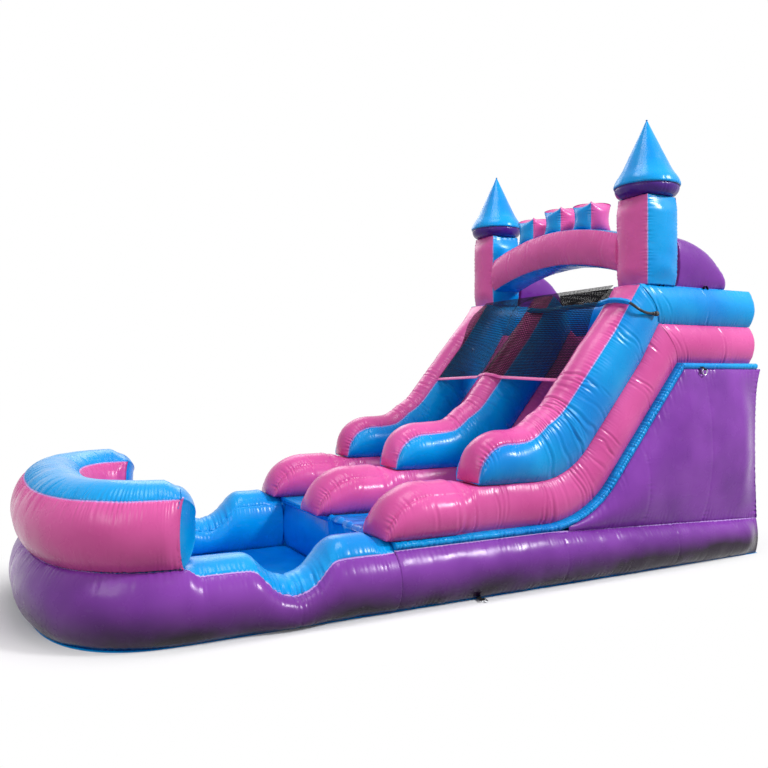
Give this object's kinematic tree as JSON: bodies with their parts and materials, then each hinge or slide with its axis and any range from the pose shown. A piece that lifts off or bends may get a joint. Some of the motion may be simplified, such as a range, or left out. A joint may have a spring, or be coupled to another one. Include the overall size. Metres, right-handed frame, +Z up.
{
  "type": "inflatable water slide",
  "caption": "Inflatable castle water slide: splash pool, bumper, slide and climbing lanes, towers, arch, nets and spray hose.",
  "frame": {"origin": "on the ground, on the centre line of the underside, under the middle of the base", "axes": "+X towards the tower end, -X towards the pool, +Z up, -Y the near side"},
  "size_m": [6.197, 2.7052, 3.661],
  "materials": {
    "pink": "glossy coated fabric",
    "blue": "glossy coated fabric",
    "purple": "glossy coated fabric",
    "net": "matt knotted net",
    "webbing": "matt woven webbing",
    "steel": "welded wire",
    "rubber": "satin",
    "hard_plastic": "moulded"
  },
  "bodies": {
    "root": {"pool_wall": "purple", "base_tube_near": "purple", "base_tube_far": "purple", "base_tube_rear": "purple", "side_panel_near": "purple", "side_panel_far": "purple", "rear_panel": "purple", "baffle_front": "purple", "baffle_rear": "purple", "fin_near": "purple", "fin_far": "purple", "blower_sleeve": "purple", "pool_bumper": "pink", "wall_near_lower": "pink", "wall_middle_lower": "pink", "wall_far_lower": "pink", "rail_near_lower": "pink", "rail_far_lower": "pink", "back_wall_lower": "pink", "tower_near": "pink", "tower_far": "pink", "arch": "pink", "merlon_1": "pink", "merlon_2": "pink", "merlon_3": "pink", "net_binding": "pink", "ground_sheet": "blue", "pool_floor": "blue", "landing_bolster": "blue", "slide_bed": "blue", "deck_bed": "blue", "slip_sheet": "blue", "climb_step_1": "blue", "climb_step_2": "blue", "climb_step_3": "blue", "climb_step_4": "blue", "wall_near_upper": "blue", "wall_middle_upper": "blue", "wall_far_upper": "blue", "rail_near_upper": "blue", "rail_far_upper": "blue", "back_wall_upper": "blue", "roof_near": "blue", "roof_far": "blue", "hose_sleeve": "blue", "front_net": "net", "rear_net": "net", "climb_handle_1": "webbing", "climb_handle_2": "webbing", "base_anchor_near_tab": "webbing", "base_anchor_far_tab": "webbing", "guy_anchor_near_tab": "webbing", "guy_anchor_far_tab": "webbing", "water_hose": "rubber", "hose_fitting": "hard_plastic"},
    "base_ring_near": {"base_anchor_near_ring": "steel"},
    "base_ring_far": {"base_anchor_far_ring": "steel"},
    "guy_ring_near": {"guy_anchor_near_ring": "steel"},
    "guy_ring_far": {"guy_anchor_far_ring": "steel"},
    "coupling_nut": {"hose_coupling": "hard_plastic"}
  },
  "joints": [
    {"name": "base_ring_near_swing", "type": "hinge", "parent": "root", "child": "base_ring_near", "pos_m": [-0.06, -1.3042, 0.0125], "axis": [-1, 0, 0], "range_deg": [0, 95]},
    {"name": "base_ring_far_swing", "type": "hinge", "parent": "root", "child": "base_ring_far", "pos_m": [-0.06, 1.3042, 0.0125], "axis": [1, 0, 0], "range_deg": [0, 95]},
    {"name": "guy_ring_near_swing", "type": "hinge", "parent": "root", "child": "guy_ring_near", "pos_m": [2.17, -1.2875, 1.5963], "axis": [-1, 0, 0], "range_deg": [-5, 150]},
    {"name": "guy_ring_far_swing", "type": "hinge", "parent": "root", "child": "guy_ring_far", "pos_m": [2.17, 1.2875, 1.5963], "axis": [1, 0, 0], "range_deg": [-5, 150]},
    {"name": "coupling_spin", "type": "hinge", "parent": "root", "child": "coupling_nut", "pos_m": [1.6384, -1.266, 2.0365], "axis": [1, 0, 0], "continuous": true}
  ]
}
